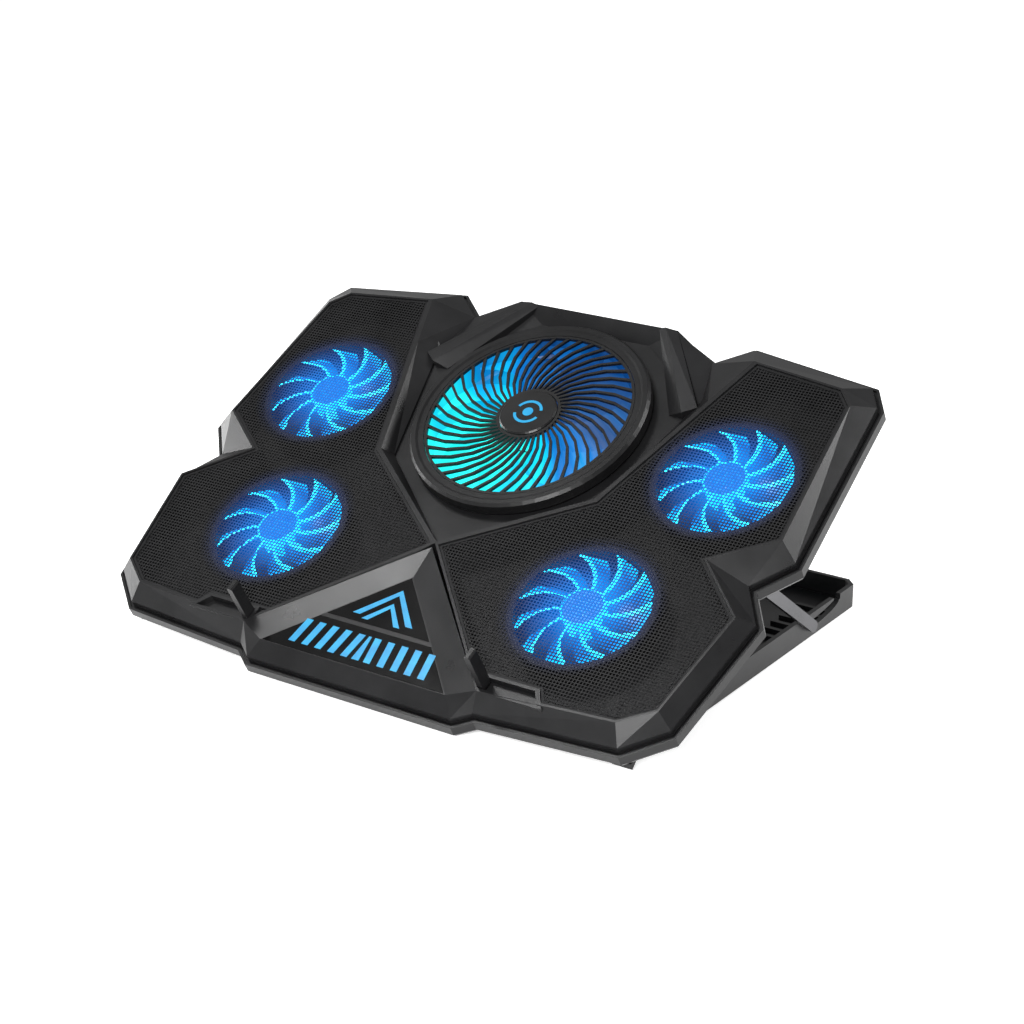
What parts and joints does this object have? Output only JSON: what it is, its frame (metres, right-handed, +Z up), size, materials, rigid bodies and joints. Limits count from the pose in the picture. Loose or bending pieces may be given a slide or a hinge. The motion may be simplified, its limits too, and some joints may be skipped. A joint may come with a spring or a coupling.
{
  "type": "laptop cooling pad",
  "caption": "Tilting laptop cooling pad with a large central fan, small fans under perforated panels, laptop stops, light windows and a fold-flat ratchet stand",
  "frame": {"origin": "on the desk, under the middle of the whole object", "axes": "+X to the user's right along the pad's width, +Y to the rear, away from the user, +Z up"},
  "size_m": [0.4286, 0.2962, 0.1689],
  "materials": {
    "cover_plastic": "satin charcoal plastic",
    "base_plastic": "fine-grained charcoal plastic",
    "mesh_metal": "black painted perforated sheet",
    "fan_ring_plastic": "satin charcoal plastic",
    "grille_plastic": "satin black plastic",
    "cap_gloss": "polished black plastic",
    "rotor_plastic": "translucent blue plastic lit by light emitting diodes",
    "fan_frame_plastic": "black plastic",
    "motor_can": "black motor can",
    "light_strip": "lit light strip",
    "window_gloss": "glossy black light window",
    "light_guide": "milky light guide",
    "circuit_board": "green circuit board",
    "port_metal": "plated steel shell",
    "control_plastic": "ribbed black plastic",
    "foot_rubber": "black rubber",
    "pin_steel": "bright steel pin",
    "screw_steel": "blackened steel screw",
    "prop_steel": "satin grey steel",
    "stand_plastic": "satin charcoal plastic"
  },
  "bodies": {
    "stand": {"stand_frame": "stand_plastic", "hinge_pin_left": "pin_steel", "hinge_pin_right": "pin_steel", "stand_foot_front_left": "foot_rubber", "stand_foot_front_right": "foot_rubber", "stand_foot_rear_left": "foot_rubber", "stand_foot_rear_right": "foot_rubber"},
    "pad": {"top_cover": "cover_plastic", "base_shell": "base_plastic", "mesh_panel_left": "mesh_metal", "mesh_panel_right": "mesh_metal", "main_fan_shroud": "fan_ring_plastic", "main_fan_grille": "grille_plastic", "main_fan_cap": "cap_gloss", "main_fan_motor": "motor_can", "main_led_ring": "light_strip", "window_upper": "window_gloss", "window_lower": "window_gloss", "light_guide_upper": "light_guide", "light_guide_lower": "light_guide", "led_board": "circuit_board", "control_board": "circuit_board", "usb_port_1": "port_metal", "usb_port_2": "port_metal", "stop_pin_left": "pin_steel", "stop_pin_right": "pin_steel", "prop_pin_left": "pin_steel", "prop_pin_right": "pin_steel", "front_foot_left": "foot_rubber", "front_foot_right": "foot_rubber", "fan_frame_front_right": "fan_frame_plastic", "fan_motor_front_right": "motor_can", "fan_frame_rear_right": "fan_frame_plastic", "fan_motor_rear_right": "motor_can", "fan_frame_front_left": "fan_frame_plastic", "fan_motor_front_left": "motor_can", "fan_frame_rear_left": "fan_frame_plastic", "fan_motor_rear_left": "motor_can", "case_screw_1": "screw_steel", "case_screw_2": "screw_steel", "case_screw_3": "screw_steel", "case_screw_4": "screw_steel", "case_screw_5": "screw_steel", "case_screw_6": "screw_steel"},
    "main_rotor": {"main_fan_rotor": "rotor_plastic"},
    "stop_left": {"laptop_stop_left": "cover_plastic"},
    "stop_right": {"laptop_stop_right": "cover_plastic"},
    "prop_left": {"prop_arm_left": "prop_steel"},
    "prop_right": {"prop_arm_right": "prop_steel"},
    "dial": {"speed_dial": "control_plastic"},
    "button": {"light_button": "control_plastic"},
    "rotor_front_right": {"fan_rotor_front_right": "rotor_plastic"},
    "rotor_rear_right": {"fan_rotor_rear_right": "rotor_plastic"},
    "rotor_front_left": {"fan_rotor_front_left": "rotor_plastic"},
    "rotor_rear_left": {"fan_rotor_rear_left": "rotor_plastic"}
  },
  "joints": [
    {"name": "pad_tilt", "type": "hinge", "parent": "stand", "child": "pad", "pos_m": [0, -0.10594, 0.01547], "axis": [1, 0, 0], "range_deg": [-29.3, 0]},
    {"name": "prop_swing_left", "type": "hinge", "parent": "pad", "child": "prop_left", "pos_m": [-0.1761, -0.00222, 0.07379], "axis": [1, 0, 0], "range_deg": [0, 65.8]},
    {"name": "prop_swing_right", "type": "hinge", "parent": "pad", "child": "prop_right", "pos_m": [0.1761, -0.00222, 0.07379], "axis": [1, 0, 0], "range_deg": [0, 65.8]},
    {"name": "main_fan_spin", "type": "hinge", "parent": "pad", "child": "main_rotor", "pos_m": [0, 0.04208, 0.11745], "axis": [0, -0.4894, 0.8721], "continuous": true},
    {"name": "fan_spin_front_right", "type": "hinge", "parent": "pad", "child": "rotor_front_right", "pos_m": [0.111, -0.06745, 0.05599], "axis": [0, -0.4894, 0.8721], "continuous": true},
    {"name": "fan_spin_rear_right", "type": "hinge", "parent": "pad", "child": "rotor_rear_right", "pos_m": [0.1455, 0.029, 0.11011], "axis": [0, -0.4894, 0.8721], "continuous": true},
    {"name": "fan_spin_front_left", "type": "hinge", "parent": "pad", "child": "rotor_front_left", "pos_m": [-0.111, -0.06745, 0.05599], "axis": [0, -0.4894, 0.8721], "continuous": true},
    {"name": "fan_spin_rear_left", "type": "hinge", "parent": "pad", "child": "rotor_rear_left", "pos_m": [-0.1455, 0.029, 0.11011], "axis": [0, -0.4894, 0.8721], "continuous": true},
    {"name": "stop_fold_left", "type": "hinge", "parent": "pad", "child": "stop_left", "pos_m": [-0.0851, -0.12969, 0.02978], "axis": [0, -0.8721, -0.4894], "range_deg": [0, 90]},
    {"name": "stop_fold_right", "type": "hinge", "parent": "pad", "child": "stop_right", "pos_m": [0.0851, -0.12969, 0.02978], "axis": [0, 0.8721, 0.4894], "range_deg": [0, 90]},
    {"name": "speed_turn", "type": "hinge", "parent": "pad", "child": "dial", "pos_m": [-0.014, 0.12233, 0.15469], "axis": [0, -0.4894, 0.8721], "range_deg": [-130, 130]},
    {"name": "light_press", "type": "slide", "parent": "pad", "child": "button", "axis": [0, -0.8721, -0.4894], "range_m": [0, 0.0009], "stiffness_N_per_m": 400, "springref_m": -0.0002}
  ],
  "couplings": [
    {"joint": "prop_swing_left", "follows": "pad_tilt", "ratio": -2.2457},
    {"joint": "prop_swing_right", "follows": "pad_tilt", "ratio": -2.2457}
  ]
}
